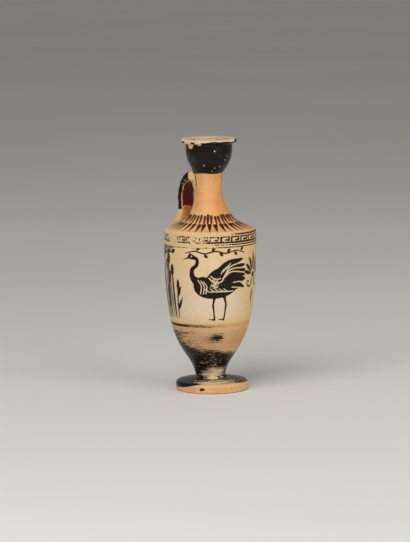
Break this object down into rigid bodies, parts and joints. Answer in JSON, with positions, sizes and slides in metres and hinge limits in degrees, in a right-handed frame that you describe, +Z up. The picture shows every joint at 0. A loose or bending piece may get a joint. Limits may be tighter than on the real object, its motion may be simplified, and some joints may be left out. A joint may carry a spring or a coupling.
{
  "type": "lekythos",
  "caption": "Slender ceramic oil flask with a disc foot, tall body, sloping shoulder, narrow neck, strap handle and cup-shaped mouth.",
  "frame": {"origin": "centre of the foot's underside, on the vase's own axis, on the plane that it stands on", "axes": "+Z up along the vase's axis; the strap handle is on the -X side; +Y completes a right-handed frame"},
  "size_m": [0.0638, 0.0638, 0.175],
  "materials": {
    "white_ground": "satin, worn white-ground slip over orange clay",
    "orange_clay": "burnished orange clay",
    "black_gloss": "glossy black slip, chipped at the edges",
    "luting_slip": "matt smoothed slip"
  },
  "bodies": {
    "root": {"foot": "orange_clay", "foot_seam": "luting_slip", "body": "white_ground", "shoulder": "orange_clay", "shoulder_seam": "luting_slip", "neck": "orange_clay", "neck_seam": "luting_slip", "mouth": "black_gloss", "mouth_seam": "luting_slip", "handle": "black_gloss"}
  },
  "joints": []
}
